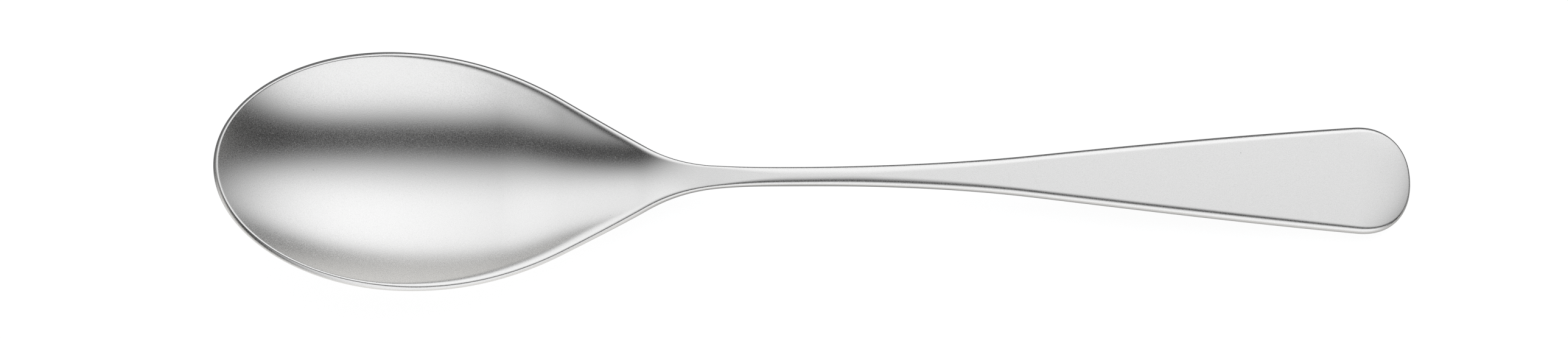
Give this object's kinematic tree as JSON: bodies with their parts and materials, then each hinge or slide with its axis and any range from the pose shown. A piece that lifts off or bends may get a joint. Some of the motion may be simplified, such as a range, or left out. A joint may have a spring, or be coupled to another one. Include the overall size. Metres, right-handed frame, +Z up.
{
  "type": "tablespoon",
  "caption": "Tablespoon with an egg-shaped bowl, a slim neck and a long handle that flares to a rounded end, in satin stainless steel, for eating and serving.",
  "frame": {"origin": "centre of the bounding box on the table that the spoon lies on", "axes": "+X from the bowl to the end of the handle, +Z up, out of the bowl"},
  "size_m": [0.2051, 0.042, 0.0163],
  "materials": {
    "satin_steel": "fine satin, even and without direction"
  },
  "bodies": {
    "root": {"tablespoon": "satin_steel"}
  },
  "joints": []
}
